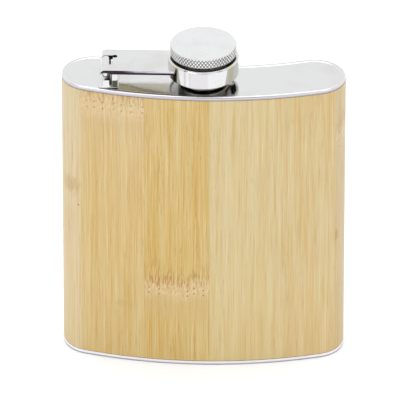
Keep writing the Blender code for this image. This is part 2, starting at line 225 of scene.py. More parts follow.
def turned(name, profile, closed, material, segments):
    """A (radius, z) profile turned round the cap's axis."""
    rows = [circle(r, z, segments) for r, z in profile]
    return skinned(name, rows, closed, material)


def bar_rows(outline, low, high, bevel):
    """An (x, z) outline swept along Y, with its end edges rounded off by bevel."""
    def shrunk(amount):
        loop = []
        for i, point in enumerate(outline):
            here = Vector(point)
            before = (here - Vector(outline[i - 1])).normalized()
            after = (Vector(outline[(i + 1) % len(outline)]) - here).normalized()
            along = before + after
            if along.length < 1e-9:
                along = after
            along.normalize()
            inwards = Vector((-along.y, along.x)) * amount * side
            loop.append(here + inwards)
        return loop

    area = sum(a[0] * b[1] - b[0] * a[1] for a, b in zip(outline, outline[1:] + outline[:1]))
    side = 1 if area > 0 else -1
    stations = [(low, bevel), (low + bevel * 0.3, bevel * 0.3), (low + bevel, 0),
                (high - bevel, 0), (high - bevel * 0.3, bevel * 0.3), (high, bevel)]
    return [[(x, y, z) for x, z in shrunk(amount)] for y, amount in stations]


def add_bar(bm, outline, low, high, bevel, origin=(0, 0, 0)):
    """Adds a bar of that outline, moved by origin."""
    rows = bar_rows(outline, low, high, bevel)
    add_rows(bm, [[tuple(a + b for a, b in zip(point, origin)) for point in row]
                  for row in rows], False)


def arc(centre, radius, start, end, steps):
    """Points of an arc in degrees, anticlockwise if end is larger."""
    points = []
    for i in range(steps + 1):
        angle = math.radians(start + (end - start) * i / steps)
        points.append((centre[0] + radius * math.cos(angle), centre[1] + radius * math.sin(angle)))
    return points


def carved(obj, cutters):
    """Takes the cutters out of obj for good."""
    for cutter in cutters:
        modifier = obj.modifiers.new("cut", "BOOLEAN")
        modifier.operation = "DIFFERENCE"
        modifier.solver = "EXACT"
        modifier.object = cutter
    bpy.context.view_layer.update()
    evaluated = obj.evaluated_get(bpy.context.evaluated_depsgraph_get())
    mesh = bpy.data.meshes.new_from_object(evaluated)
    obj.modifiers.clear()
    obj.data = mesh
    for cutter in cutters:
        bpy.data.objects.remove(cutter)


SOFT_EDGE_ANGLE = math.radians(38)


def softened(obj, width):
    """Rounds off the sharp edges of a carved piece."""
    modifier = obj.modifiers.new("soft_edges", "BEVEL")
    modifier.width = width
    modifier.segments = 3
    modifier.limit_method = "ANGLE"
    modifier.angle_limit = SOFT_EDGE_ANGLE
    obj.data.shade_smooth()
    smooth(obj)


# Material tools ---------------------

class Graph:
    """The nodes of one material. A value is a number, a colour or another node's output."""

    def __init__(self, name):
        self.material = bpy.data.materials.new(name)
        self.material.use_nodes = True
        self.tree = self.material.node_tree
        self.shader = self.tree.nodes["Principled BSDF"]

    def node(self, kind, **settings):
        node = self.tree.nodes.new(kind)
        for key, value in settings.items():
            setattr(node, key, value)
        return node

    def feed(self, value, socket):
        if isinstance(value, bpy.types.NodeSocket):
            self.tree.links.new(value, socket)
        else:
            socket.default_value = value

    def to_shader(self, **values):
        for key, value in values.items():
            self.feed(value, self.shader.inputs[key.replace("_", " ")])

    def math(self, operation, *values):
        node = self.node("ShaderNodeMath", operation=operation)
        for value, socket in zip(values, node.inputs):
            self.feed(value, socket)
        return node.outputs[0]

    def add(self, a, b):
        return self.math("ADD", a, b)

    def subtract(self, a, b):
        return self.math("SUBTRACT", a, b)

    def times(self, a, b):
        return self.math("MULTIPLY", a, b)

    def divide(self, a, b):
        return self.math("DIVIDE", a, b)

    def absolute(self, value):
        return self.math("ABSOLUTE", value)

    def length(self, a, b):
        return self.math("SQRT", self.add(self.times(a, a), self.times(b, b)))

    def swing(self, value, reach):
        """A value from 0 to 1, moved to lie about zero and stretched to reach."""
        return self.times(self.subtract(value, 0.5), reach)

    def smoothstep(self, value, low, high, start=0.0, end=1.0):
        node = self.node("ShaderNodeMapRange", interpolation_type="SMOOTHSTEP")
        for key, given in (("Value", value), ("From Min", low), ("From Max", high),
                           ("To Min", start), ("To Max", end)):
            self.feed(given, node.inputs[key])
        return node.outputs[0]

    def between(self, value, low, high, soft):
        """1 from low to high, and 0 outside, with soft ends."""
        rise = self.smoothstep(value, low - soft, low + soft)
        fall = self.smoothstep(value, high - soft, high + soft, 1.0, 0.0)
        return self.times(rise, fall)

    def vector(self, x, y, z=0.0):
        """A vector of three coordinates, each a value or a pair of a value and its scale."""
        node = self.node("ShaderNodeCombineXYZ")
        for value, socket in zip((x, y, z), node.inputs):
            self.feed(self.times(*value) if isinstance(value, tuple) else value, socket)
        return node.outputs[0]

    def split(self, vector):
        node = self.node("ShaderNodeSeparateXYZ")
        self.feed(vector, node.inputs[0])
        return node.outputs

    def noise(self, *place, scale=1.0, detail=2, roughness=0.5):
        """Noise at a place, which is a vector or the coordinates of one."""
        node = self.node("ShaderNodeTexNoise")
        self.feed(place[0] if len(place) == 1 else self.vector(*place), node.inputs["Vector"])
        node.inputs["Scale"].default_value = scale
        node.inputs["Detail"].default_value = detail
        node.inputs["Roughness"].default_value = roughness
        return node.outputs[0]

    def white_noise(self, x, y, z):
        node = self.node("ShaderNodeTexWhiteNoise", noise_dimensions="3D")
        self.feed(self.vector(x, y, z), node.inputs["Vector"])
        return node.outputs["Value"]

    def mix(self, amount, a, b):
        node = self.node("ShaderNodeMix", data_type="RGBA")
        self.feed(amount, node.inputs[0])
        self.feed(a, node.inputs[6])
        self.feed(b, node.inputs[7])
        return node.outputs[2]

    def bump(self, height, distance):
        node = self.node("ShaderNodeBump")
        node.inputs["Distance"].default_value = distance
        self.feed(height, node.inputs["Height"])
        return node.outputs[0]

    def steel(self, color, rough, height, relief):
        """Finishes a steel, whose bumps follow height, and returns the material."""
        self.to_shader(Base_Color=color, Roughness=rough, Metallic=1.0,
                       Normal=self.bump(height, relief))
        return self.material

    def position_mm(self):
        """The piece's own coordinates in millimetres."""
        node = self.node("ShaderNodeTexCoord")
        scaled = self.node("ShaderNodeVectorMath", operation="SCALE")
        self.feed(node.outputs["Object"], scaled.inputs[0])
        scaled.inputs["Scale"].default_value = 1000
        return scaled.outputs[0]

    def normal(self):
        return self.split(self.node("ShaderNodeNewGeometry").outputs["Normal"])


# Steel ------------------------------

STEEL = (0.655, 0.652, 0.642, 1)
STEEL_STAINED = (0.615, 0.608, 0.588, 1)
STEEL_BRIGHT = (0.705, 0.703, 0.698, 1)
STEEL_GROUND = (0.685, 0.665, 0.695, 1)
# Darkened steel: painted shade for the sleeve in the gap under the cap's head.
GAP_SHADE_STEEL = (0.33, 0.32, 0.30, 1)
GAP_SHADE_STEEL_DEEP = (0.26, 0.25, 0.23, 1)
JOINT_SHADE = (0.38, 0.36, 0.39, 1)
FOOT_CONTACT_SHADOW = (0.40, 0.39, 0.42, 1)
FOOT_HIGHLIGHT = (0.88, 0.87, 0.89, 1)
UNDERSIDE_REFLECTION_STRAW = (0.41, 0.35, 0.225, 1)
UNDERSIDE_REFLECTION_OLIVE = (0.36, 0.31, 0.20, 1)
UNDERSIDE_REFLECTION_PALE = (0.50, 0.48, 0.385, 1)
UNDERSIDE_REFLECTION_BROWN = (0.16, 0.13, 0.07, 1)
EDGE_REFLECTION_BLACK = (0.03, 0.022, 0.03, 1)
EDGE_HIGHLIGHT = (0.62, 0.57, 0.61, 1)
KNURL_CREST = (0.80, 0.79, 0.785, 1)
KNURL_GROOVE_SHADE = (0.15, 0.14, 0.135, 1)
SILICONE = (0.72, 0.715, 0.69, 1)
SILICONE_SHADE = (0.64, 0.635, 0.60, 1)

# Scratches: their direction in degrees, how fine they are and how rare.
HAIRLINES = ((7, 16.0, 0.70), (-38, 13.0, 0.74), (71, 15.0, 0.75))

# Painted reflection bands on the collar: start and end in radians right of its front, softness,
# amount, colour.
COLLAR_REFLECTION_BANDS = (
    (-0.31, 0.16, 0.03, 0.75, (0.575, 0.55, 0.555, 1)),
    (-0.38, -0.33, 0.04, 0.6, (0.44, 0.43, 0.41, 1)),
    (-0.54, -0.49, 0.03, 0.7, (0.40, 0.40, 0.35, 1)),
    (2.4, 3.0, 0.1, 0.5, (0.52, 0.51, 0.48, 1)),
)

# Height of the bumps, in metres.
POLISH_RELIEF = 0.000006
SPUN_RELIEF = 0.000003
SATIN_RELIEF = 0.00003
TURNED_RELIEF = 0.00002
SILICONE_RELIEF = 0.00003
BAMBOO_RELIEF = 0.00006


def haze(g, place):
    return g.noise(place, scale=0.09, detail=3, roughness=0.6)


def polished_steel(name, roughness=0.07, finish=None):
    """Bright polished stainless steel with faint haze, wipe marks and sparse hairline scratches.

    finish changes the colour and roughness of some of its surfaces.
    """
    g = Graph(name)
    place = g.position_mm()
    x, y, z = g.split(place)
    cloud = haze(g, place)
    fine = g.noise(place, scale=1.1)
    hairs = 0.0
    for turn, fineness, rarity in HAIRLINES:
        cosine = math.cos(math.radians(turn))
        sine = math.sin(math.radians(turn))
        along = g.add(g.times(x, cosine), g.times(y, sine))
        across = g.subtract(g.times(y, cosine), g.times(x, sine))
        line = g.noise((along, 0.12), (across, fineness), (z, 5.0), detail=1)
        hairs = g.add(g.smoothstep(line, rarity, rarity + 0.1), hairs)
    polish = g.noise((x, 0.4), (y, 22.0), (z, 22.0), roughness=0.6)
    color = g.mix(g.smoothstep(cloud, 0.42, 0.75), STEEL, STEEL_STAINED)
    rough = g.add(roughness, g.times(0.05, g.add(cloud, g.times(fine, 0.4))))
    rough = g.add(rough, g.add(g.times(hairs, 0.05), g.times(polish, 0.03)))
    if finish:
        color, rough = finish(g, place, color, rough)
    height = g.subtract(g.times(fine, 1.6), g.add(hairs, g.times(polish, 0.2)))
    return g.steel(color, rough, height, POLISH_RELIEF)


def ground_edges_painted_light(g, place, color, rough):
    """A softer shine on what doesn't face up or down, with painted shade along the joint beside the
    bamboo and a painted highlight on the foot with a painted contact shadow under it."""
    z = g.split(place)[2]
    edge = g.smoothstep(g.absolute(g.normal()[2]), 0.93, 0.995, 1.0, 0.0)
    color = g.mix(edge, color, STEEL_GROUND)
    # Painted shade on the rim's edge along the joint beside the bamboo.
    joint = g.smoothstep(g.absolute(g.subtract(z, TOP)), 0.3, 1.15, 1.0, 0.0)
    color = g.mix(g.times(edge, joint), color, JOINT_SHADE)
    # Painted contact shadow at the very bottom of the foot, and a painted highlight above it.
    foot = g.mix(g.smoothstep(z, 0.35, 0.8), FOOT_CONTACT_SHADOW, FOOT_HIGHLIGHT)
    color = g.mix(g.times(edge, g.smoothstep(z, 3.0, 6.0, 1.0, 0.0)), color, foot)
    return color, g.add(rough, g.times(edge, 0.24))


def arm_painted_reflections(g, place, color, rough):
    """Painted reflection on the arm's unpolished underside, and painted dark reflections and
    highlights on its edges.
    """
    x, y, z = g.split(place)
    # Painted reflection: straw, olive, pale and brown tones on the underside, which the lid below
    # mirrors.
    underside_reflection_mask = g.smoothstep(z, UNDERSIDE - 0.1, UNDERSIDE + 0.1, 1.0, 0.0)
    underside_reflection_mask = g.times(underside_reflection_mask, g.smoothstep(x, KNUCKLE_RADIUS / MM, CUTOUT_REACH / MM))
    painted_reflection = g.mix(g.smoothstep(haze(g, place), 0.35, 0.65), UNDERSIDE_REFLECTION_STRAW, UNDERSIDE_REFLECTION_OLIVE)
    wander = g.noise((x, 0.2), 0.0)
    behind = g.add(g.subtract(y, 7.2), g.subtract(g.times(x, 0.40), g.times(wander, 2.0)))
    painted_reflection = g.mix(g.smoothstep(behind, -0.4, 0.4), painted_reflection, UNDERSIDE_REFLECTION_PALE)
    painted_reflection = g.mix(g.between(behind, -0.9, 0.2, 0.5), painted_reflection, UNDERSIDE_REFLECTION_BROWN)
    color = g.mix(underside_reflection_mask, color, painted_reflection)
    rough = g.add(rough, g.times(underside_reflection_mask, 0.06))

    # Painted reflection on the front and back edges: near black, with a painted highlight along
    # part of their top and over the rolled end.
    edge_reflection_mask = g.smoothstep(g.absolute(g.normal()[1]), 0.6, 0.9)
    ragged = g.noise((x, 0.16), 3.0, (z, 1.1), roughness=0.6)
    highlight_along = g.smoothstep(g.add(x, g.times(ragged, 20.0)), 13.0, 29.0)
    lit = g.times(g.smoothstep(z, 0.80, 1.30), highlight_along)
    dark = g.mix(lit, EDGE_REFLECTION_BLACK, EDGE_HIGHLIGHT)
    rolled = g.smoothstep(g.add(x, g.times(z, -0.6)), -0.4, 1.6, 1.0, 0.0)
    dark = g.mix(g.times(rolled, g.smoothstep(z, 1.0, 0.0, 0.0, 0.8)), dark, STEEL_BRIGHT)
    color = g.mix(edge_reflection_mask, color, dark)
    return color, g.add(rough, g.times(edge_reflection_mask, 0.2))


def from_cap_axis(g, place):
    """X and Y from the cap's axis, the distance from it, and Z, in millimetres."""
    x, y, z = g.split(place)
    dx = g.subtract(x, AXIS.x / MM)
    dy = g.subtract(y, AXIS.y / MM)
    return dx, dy, g.length(dx, dy), z


def drawn_marks(g, place):
    """Lines along Z, as a drawing die leaves them, and wear."""
    x, y, z = g.split(place)
    lines = g.noise((x, 12.0), (y, 12.0), (z, 0.15), detail=3, roughness=0.7)
    return lines, g.noise(place, scale=0.2, detail=3, roughness=0.6)


def lathe_marks(g, place):
    """Lines round the cap's axis, as a lathe leaves them, and wear."""
    _, _, radius, z = from_cap_axis(g, place)
    lines = g.noise((radius, 14.0), (z, 14.0), detail=3, roughness=0.7)
    return lines, g.noise(place, scale=0.35, detail=3, roughness=0.6)


def satin_steel(name, marks, roughness=0.26, relief=SATIN_RELIEF, tones=(STEEL, STEEL_STAINED)):
    g = Graph(name)
    lines, wear = marks(g, g.position_mm())
    color = g.mix(g.smoothstep(g.add(g.times(lines, 0.5), g.times(wear, 0.5)), 0.35, 0.7), *tones)
    rough = g.add(roughness, g.times(roughness * 0.4, g.subtract(g.add(lines, wear), 1.0)))
    return g.steel(color, rough, lines, relief)


def spun_steel(name):
    """Polished steel of the collar, with soft upright bands of painted reflection round it."""
    g = Graph(name)
    place = g.position_mm()
    dx, dy, _, _ = from_cap_axis(g, place)
    lines, wear = lathe_marks(g, place)
    turn = g.add(g.math("ARCTAN2", dx, g.times(dy, -1.0)), g.swing(wear, 0.05))
    color = g.mix(g.smoothstep(wear, 0.35, 0.7), STEEL, STEEL_STAINED)
    # Painted reflections: bands by the angle round the cap's axis.
    for start, end, soft, amount, painted_reflection in COLLAR_REFLECTION_BANDS:
        color = g.mix(g.times(g.between(turn, start, end, soft), amount), color, painted_reflection)
    rough = g.add(0.08, g.times(0.03, g.add(lines, wear)))
    return g.steel(color, rough, lines, SPUN_RELIEF)


def knurled_steel(name):
    """Steel of the cap's head, with painted shade in the grooves of its knurl."""
    g = Graph(name)
    place = g.position_mm()
    _, _, radius, z = from_cap_axis(g, place)
    outer = HEAD_RADIUS / MM
    deep = KNURL_DEPTH / MM
    groove = g.smoothstep(radius, outer - deep * 0.75, outer - deep * 0.15, 1.0, 0.0)
    groove_shade = g.times(groove, g.smoothstep(z, HEAD_TOP - 0.25, HEAD_TOP - 0.5))
    lines = g.noise((radius, 12.0), (z, 2.0), detail=3, roughness=0.7)
    patches = g.noise(place, scale=0.15)
    color = g.mix(g.smoothstep(patches, 0.4, 0.8), STEEL_BRIGHT, STEEL)
    color = g.mix(g.smoothstep(z, HEAD_TOP - 0.1, HEAD_TOP - 0.4), color, KNURL_CREST)
    # Painted shade in the knurl's grooves.
    color = g.mix(g.times(groove_shade, 0.95), color, KNURL_GROOVE_SHADE)
    rough = g.add(0.27, g.times(0.12, g.subtract(g.add(lines, patches), 1.0)))
    rough = g.add(rough, g.times(groove_shade, 0.12))
    return g.steel(color, rough, lines, TURNED_RELIEF)


def silicone(name):
    g = Graph(name)
    place = g.position_mm()
    grain = g.noise(place, scale=6.0, detail=3, roughness=0.6)
    cloud = g.noise(place, scale=0.5)
    color = g.mix(g.smoothstep(cloud, 0.3, 0.7), SILICONE, SILICONE_SHADE)
    g.to_shader(Base_Color=color, Roughness=g.add(0.5, g.times(grain, 0.15)),
                Normal=g.bump(grain, SILICONE_RELIEF))
    return g.material


# Bamboo -----------------------------

BAMBOO_LIGHT = 0.783


def bamboo_tone(*color):
    """Linear colour of bamboo that this light shows as an sRGB colour given from 0 to 255."""
    values = []
    for value in color:
        value /= 255
        value = value / 12.92 if value <= 0.04045 else ((value + 0.055) / 1.055) ** 2.4
        values.append(value * BAMBOO_LIGHT)
    return (*values, 1)


GOLD = bamboo_tone(207, 160, 66)
FIBRE = bamboo_tone(194, 145, 60)
FIBRE_DARK = bamboo_tone(158, 110, 42)
PALE = bamboo_tone(234, 214, 170)
NODE_PALE = bamboo_tone(231, 208, 166)
NODE_GOLD = bamboo_tone(198, 152, 84)
NODE_DASH = bamboo_tone(178, 127, 56)
NODE_TRAIL = bamboo_tone(208, 180, 124)
PORE = bamboo_tone(112, 72, 36)


def bamboo(name, start, tones, seed, streaks, dashes, nodes):
    """Bamboo of one strip. UV is the distance round the flask and the height, in metres.

    tones are its colours at the top, middle and bottom. streaks and dashes are how strong the
    fine fibres and the short dark marks are. nodes are the joints and smudges that cross it.
    """
    g = Graph(name)
    u_metres, v_metres, _ = g.split(g.node("ShaderNodeUVMap", uv_map="UVMap").outputs[0])
    u = g.times(g.subtract(u_metres, start), 1000.0)
    v = g.times(v_metres, 1000.0)
    across = g.add(u, g.swing(g.noise(seed, (v, 0.012), 0.3), 0.7))

    top, middle, bottom = tones
    color = g.mix(g.smoothstep(v, 0.0, TOP / 2), bottom, middle)
    color = g.mix(g.smoothstep(v, TOP / 2, TOP), color, top)

    broad = g.noise((across, 0.35), (v, 0.008), seed, detail=3, roughness=0.55)
    color = g.mix(g.smoothstep(broad, 0.35, 0.7, 0.0, 0.32 * streaks), color, GOLD)
    medium = g.noise((across, 2.1), (v, 0.028), seed + 3.1, detail=3, roughness=0.6)
    color = g.mix(g.smoothstep(medium, 0.52, 0.68, 0.0, 0.6 * streaks), color, GOLD)
    color = g.mix(g.smoothstep(medium, 0.30, 0.47, 0.42, 0.0), color, PALE)

    fine = g.noise((across, 5.2), (v, 0.05), seed + 7.7, detail=3, roughness=0.6)
    fibre = g.smoothstep(fine, 0.54, 0.66)
    color = g.mix(g.times(fibre, 0.42 * streaks), color, FIBRE)
    color = g.mix(g.smoothstep(fine, 0.32, 0.46, 0.42, 0.0), color, PALE)

    short = g.noise((across, 4.6), (v, 0.16), seed + 13.3)
    where = g.noise((across, 0.3), (v, 0.03), seed + 19.9)
    marks = g.times(g.smoothstep(short, 0.62, 0.72), g.smoothstep(where, 0.42, 0.6))
    color = g.mix(g.times(marks, dashes), color, FIBRE_DARK)

    relief = g.subtract(g.times(fine, 0.5), g.times(fibre, 0.4))
    relief = g.subtract(relief, g.times(marks, 0.5))
    for node in nodes:
        color, relief = node(g, color, relief, u, v, seed)

    rough = g.add(0.40, g.add(g.times(fine, 0.16), g.times(broad, 0.06)))
    g.to_shader(Base_Color=color, Roughness=rough, Coat_Weight=0.18, Coat_Roughness=0.28,
                Normal=g.bump(relief, BAMBOO_RELIEF))
    return g.material


def pores(g, u, v, height, pitch, spread, seed):
    """A row of small round holes, unevenly spaced, as left by the bundles of fibres."""
    cell = g.math("FLOOR", g.divide(u, pitch))
    jitter_u = g.swing(g.white_noise(cell, 1.0, seed), pitch * 0.35)
    jitter_v = g.swing(g.white_noise(cell, 2.0, seed), spread)
    centre = g.add(g.times(g.add(cell, 0.5), pitch), jitter_u)
    du = g.subtract(u, centre)
    dv = g.times(g.subtract(g.subtract(v, height), jitter_v), 0.7)
    return g.smoothstep(g.length(du, dv), 0.12, 0.30, 1.0, 0.0)


def node_ridge(height, waviness=2.2, band_depth=6.5, trail=9.0, pore_rows=(-3.0, -5.4),
               pitch=3.2, spread=1.6, strength=1.0, missing=0.0):
    """A joint of the cane that was planed away: short dashes, a pale mottled band and pores.

    waviness is how far it rises and falls, band_depth and trail how far the band and what is
    below it reach down, and pore_rows the heights of its pores. Their pitch along a row, their
    spread about it and the share of them that is missing follow. Lengths are in millimetres.
    """
    def paint(g, color, relief, u, v, seed):
        wave = g.swing(g.noise((u, 0.16), seed, 2.0), waviness * 2)
        level = g.subtract(g.subtract(v, height), wave)
        ragged = g.add(level, g.swing(g.noise((u, 2.6), seed, 4.0), 6.0))

        band = g.times(g.smoothstep(ragged, -band_depth - 2.5, -band_depth + 3.0),
                       g.smoothstep(ragged, 0.0, 2.4, 1.0, 0.0))
        mottle = g.noise((u, 1.3), (v, 0.7), seed + 5, detail=3, roughness=0.65)
        pale = g.times(band, g.smoothstep(mottle, 0.35, 0.62, 0.25, 0.9))
        color = g.mix(g.times(pale, 0.8 * strength), color, NODE_PALE)
        fibres = g.noise((u, 3.4), (v, 0.55), seed + 6)
        golden = g.times(band, g.smoothstep(fibres, 0.52, 0.66, 0.0, 0.55))
        color = g.mix(g.times(golden, strength), color, NODE_GOLD)

        dash = g.noise((u, 2.9), (v, 0.30), seed + 8)
        upper = g.times(g.smoothstep(ragged, -2.4, 0.4), g.smoothstep(ragged, 1.0, 9.5, 1.0, 0.0))
        dash_marks = g.times(g.smoothstep(dash, 0.50, 0.60), upper)
        color = g.mix(g.times(dash_marks, 0.85 * strength), color, NODE_DASH)

        below = g.between(ragged, -band_depth - trail, -band_depth + 1.0, 2.2)
        color = g.mix(g.times(below, 0.35 * strength), color, NODE_TRAIL)

        holes = 0.0
        for row in pore_rows:
            holes = g.add(pores(g, u, level, row, pitch, spread, seed), holes)
        if missing:
            cell = g.math("FLOOR", g.divide(u, pitch))
            kept = g.math("GREATER_THAN", g.white_noise(cell, 5.0, seed), missing)
            holes = g.times(holes, kept)
        color = g.mix(g.times(holes, 0.85 * strength), color, PORE)
        relief = g.subtract(relief, g.times(holes, 1.2))
        return color, g.subtract(relief, g.times(dash_marks, 0.6))
    return paint


def smudge(u_centre, height, half_u, half_v, tone, strength, wander=1.6):
    """A soft darker patch in the grain. wander makes its outline uneven and mottles it."""
    def paint(g, color, relief, u, v, seed):
        uneven = g.noise((u, 0.9), (v, 0.35), seed, detail=3, roughness=0.6)
        du = g.divide(g.subtract(u, u_centre), half_u)
        dv = g.divide(g.subtract(v, height), half_v)
        distance = g.add(g.length(du, dv), g.swing(uneven, wander))
        fibres = g.noise((u, 2.6), (v, 0.9), seed + 2, roughness=0.6)
        amount = g.times(g.smoothstep(distance, 0.2, 1.1, strength, 0.0),
                         g.smoothstep(fibres, 0.36, 0.6, 1.0 - wander / 4, 1.0))
        return g.mix(amount, color, tone), relief
    return paint


# Colours of each strip at the top, middle and bottom.
STRIP_TONES = {
    1: ((222, 200, 155), (219, 194, 146), (217, 190, 140)),
    2: ((220, 196, 150), (217, 189, 140), (216, 187, 134)),
    3: ((221, 204, 166), (220, 200, 155), (219, 198, 148)),
    4: ((218, 193, 141), (218, 189, 126), (214, 186, 122)),
    5: ((215, 188, 123), (214, 185, 113), (214, 186, 117)),
    6: ((216, 197, 147), (217, 197, 147), (218, 196, 139)),
    7: ((214, 190, 135), (215, 194, 144), (217, 191, 135)),
    # Strip 8, round the right end, is darker: painted shade.
    8: ((207, 188, 146), (205, 184, 139), (205, 183, 135)),
    9: ((217, 190, 138), (215, 188, 133), (214, 184, 126)),
    10: ((221, 199, 153), (219, 196, 148), (218, 193, 142)),
}
STREAKS = 0.9
STRIP_STREAKS = {4: 1.0, 5: 1.35, 6: 0.75, 7: 0.95}
DASHES = 0.4
STRIP_DASHES = {4: 0.35, 5: 0.6, 6: 0.35}
STRIP_NODES = {
    2: (node_ridge(58.0, strength=0.8),),
    3: (smudge(17.0, 66.0, 5.5, 4.6, bamboo_tone(196, 160, 100), 0.75),
        smudge(20.6, 59.0, 0.4, 0.45, PORE, 0.8, wander=0.0)),
    4: (node_ridge(TOP - 2.0, waviness=0.3, band_depth=7.5, trail=4.0, pore_rows=(-1.3, -3.6),
                   spread=0.7, strength=0.75),
        smudge(14.0, 22.5, 4.0, 1.8, bamboo_tone(190, 158, 106), 0.35)),
    5: (node_ridge(32.2, waviness=2.4, band_depth=5.6, trail=8.0, pore_rows=(-1.6, -3.6),
                   pitch=3.1, spread=2.4, missing=0.45),),
    8: (smudge(0.5, 47.6, 1.2, 3.0, bamboo_tone(172, 128, 80), 0.6),
        node_ridge(88.0, strength=0.7)),
    9: (node_ridge(40.0, strength=0.9),),
    10: (node_ridge(76.0, strength=0.75),),
}

CHAMFER = 0.02 * MM  # of a strip's upright edges
SEAM = 0.012 * MM  # between two strips
VENEER = 0.9 * MM
EDGE = 0.16 * MM  # rounding of a strip's top and bottom edges
EDGE_CUT = 0.05 * MM
STRIP_STEP = 0.6 * MM  # from one column of the mesh to the next, at most


def bamboo_strip(number, start, end):
    """One strip, bent to the outline, with its four outer edges very slightly broken."""
    tones = [bamboo_tone(*color) for color in STRIP_TONES[number]]
    seed = 11.0 * number + 0.37
    material = bamboo(f"bamboo_{number:02d}", start, tones, seed,
                      STRIP_STREAKS.get(number, STREAKS), STRIP_DASHES.get(number, DASHES),
                      STRIP_NODES.get(number, ()))
    low, high = strip_low.z, strip_high.z
    edge = [(VENEER, low), (EDGE, low), (EDGE_CUT, low + EDGE_CUT), (0, low + EDGE),
            (0, high - EDGE), (EDGE_CUT, high - EDGE_CUT), (EDGE, high), (VENEER, high)]
    first = start + SEAM / 2
    last = end - SEAM / 2
    count = math.ceil((last - first) / STRIP_STEP)
    inner = [first + CHAMFER + (last - first - 2 * CHAMFER) * i / count for i in range(count + 1)]
    stations = [(first, CHAMFER)] + [(s, 0) for s in inner] + [(last, CHAMFER)]
    rows = []
    for s, broken in stations:
        rows.append([(*plan_point(s, max(inset, broken)), z) for inset, z in edge])
    bm = bmesh.new()
    layer = bm.loops.layers.uv.new("UVMap")
    add_rows(bm, rows, False)
    bm.verts.index_update()
    for face in bm.faces:
        for loop in face.loops:
            s, _ = stations[loop.vert.index // len(edge)]
            loop[layer].uv = (s, loop.vert.co.z)
    obj = smooth(make_object(f"bamboo_piece_{number:02d}", bm, material, 25))
    settle(obj, "flask", f"bamboo_strip_{number:02d}")


def settle(obj, body, node):
    """Attaches a finished piece to its body and hides the CAD node that it stands for."""
    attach(obj, body)
    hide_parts(node)


def build_bamboo():
    first = FIRST_SEAM - STRIP_COUNT // 2 * STRIP_WIDTH
    start = first
    for number in range(1, STRIP_COUNT + 1):
        end = first + PERIMETER if number == STRIP_COUNT else start + STRIP_WIDTH
        bamboo_strip(number, start, end)
        start = end


# Steel body -------------------------

RIM_INSET = 0.1 * MM  # of both end plates, from the flask's outline
SKIRT_OUTER = 1.8 * MM  # of the skirts that plug into the body
SKIRT_INNER = 2.4 * MM
PLATE_SHEET = 0.8 * MM


def build_top_plate(material):
    """A pressed lid: a flat panel in a raised rolled rim, with a skirt that plugs into the body."""
    rim = plate_high.z
    low = SHOULDER_Z + 0.13 * MM
    skirt = plate_low.z
    under = PLATE_Z - PLATE_SHEET
    section = rounded([
        (1.75 * MM, PLATE_Z, 0.25 * MM),
        (1.50 * MM, rim, 0.25 * MM),
        (RIM_INSET, rim, 0.62 * MM),
        (RIM_INSET, low, 0.08 * MM),
        (SKIRT_OUTER, low, 0.05 * MM),
        (SKIRT_OUTER, skirt, 0.1 * MM),
        (SKIRT_INNER, skirt, 0.1 * MM),
        (SKIRT_INNER, under, 0.1 * MM),
    ], 5)
    hole = NECK_ROOT + 0.05 * MM
    rows = [hole_loop(hole, under), hole_loop(hole, PLATE_Z - 0.1 * MM),
            hole_loop(hole + 0.1 * MM, PLATE_Z), hole_loop(COLLAR_RADIUS - 2.0 * MM, PLATE_Z)]
    rows += [plan_loop(inset, z) for inset, z in section]
    return skinned("top_lid", rows, True, material)


def build_base_plate(material):
    """A pressed pan with a skirt like the lid's. The flask stands on its rim."""
    lip = 1.45 * MM
    recess = 0.7 * MM
    section = rounded([
        (4.0 * MM, recess, 0),
        (3.3 * MM, recess, 0.3 * MM),
        (3.0 * MM, 0, 0.2 * MM),
        (RIM_INSET, 0, 0.35 * MM),
        (RIM_INSET, lip, 0.08 * MM),
        (SKIRT_OUTER, lip, 0.05 * MM),
        (SKIRT_OUTER, base_high.z, 0.1 * MM),
        (SKIRT_INNER, base_high.z, 0.1 * MM),
        (SKIRT_INNER, recess + PLATE_SHEET, 0),
    ], 5)
    rows = [plan_loop(inset, z) for inset, z in section]
    return skinned("base_pan", rows, False, material)


THREAD_PITCH = 1.5 * MM
THREAD_RUN_OUT = 0.6 * MM  # over which it fades in and out
THREAD_FOOT = 0.62  # width of the ridge, as a part of the pitch
THREAD_FLANK = 0.34  # width of both its flanks together


def helix(root, crest, bottom, top):
    """The radius of a threaded wall at an angle and height, fading in and out at its ends."""
    def radius(angle, z):
        phase = ((z - bottom) / THREAD_PITCH - angle / math.tau) % 1
        away = abs(phase - 0.5) * 2
        height = min(1, max(0, (THREAD_FOOT - away) / THREAD_FLANK))
        height = height * height * (3 - 2 * height)
        fade = min(1, max(0, (z - bottom) / THREAD_RUN_OUT))
        fade *= min(1, max(0, (top - z) / THREAD_RUN_OUT))
        return root + (crest - root) * height * fade
    return radius


def levels(low, high, step):
    """Heights from low to high, about a step apart."""
    count = max(1, round((high - low) / step))
    return [low + (high - low) * i / count for i in range(count + 1)]


def build_neck(material):
    """The spout, a tube with a thread outside, and the weld bead that joins it to the lid."""
    root = NECK_ROOT
    bore = NECK_RADIUS - 1.4 * MM
    top = neck_high.z
    thread_low = top - 6.2 * MM
    thread_high = top - 0.3 * MM
    thread = helix(root, NECK_RADIUS, thread_low, thread_high)
    bead = [(root, PLATE_Z - 0.4 * MM), (root + 0.55 * MM, PLATE_Z + 0.02 * MM),
            (root + 0.3 * MM, PLATE_Z + 0.22 * MM), (root, PLATE_Z + 0.5 * MM)]
    profile = [(bore, neck_low.z), (root, neck_low.z)] + bead
    profile += [(thread, z) for z in levels(thread_low, thread_high, 0.11 * MM)]
    profile += [(root, top - 0.25 * MM), (root - 0.08 * MM, top - 0.08 * MM),
                (root - 0.25 * MM, top), (bore + 0.15 * MM, top), (bore, top - 0.15 * MM)]
    return turned("threaded_neck", profile, True, material, 96)


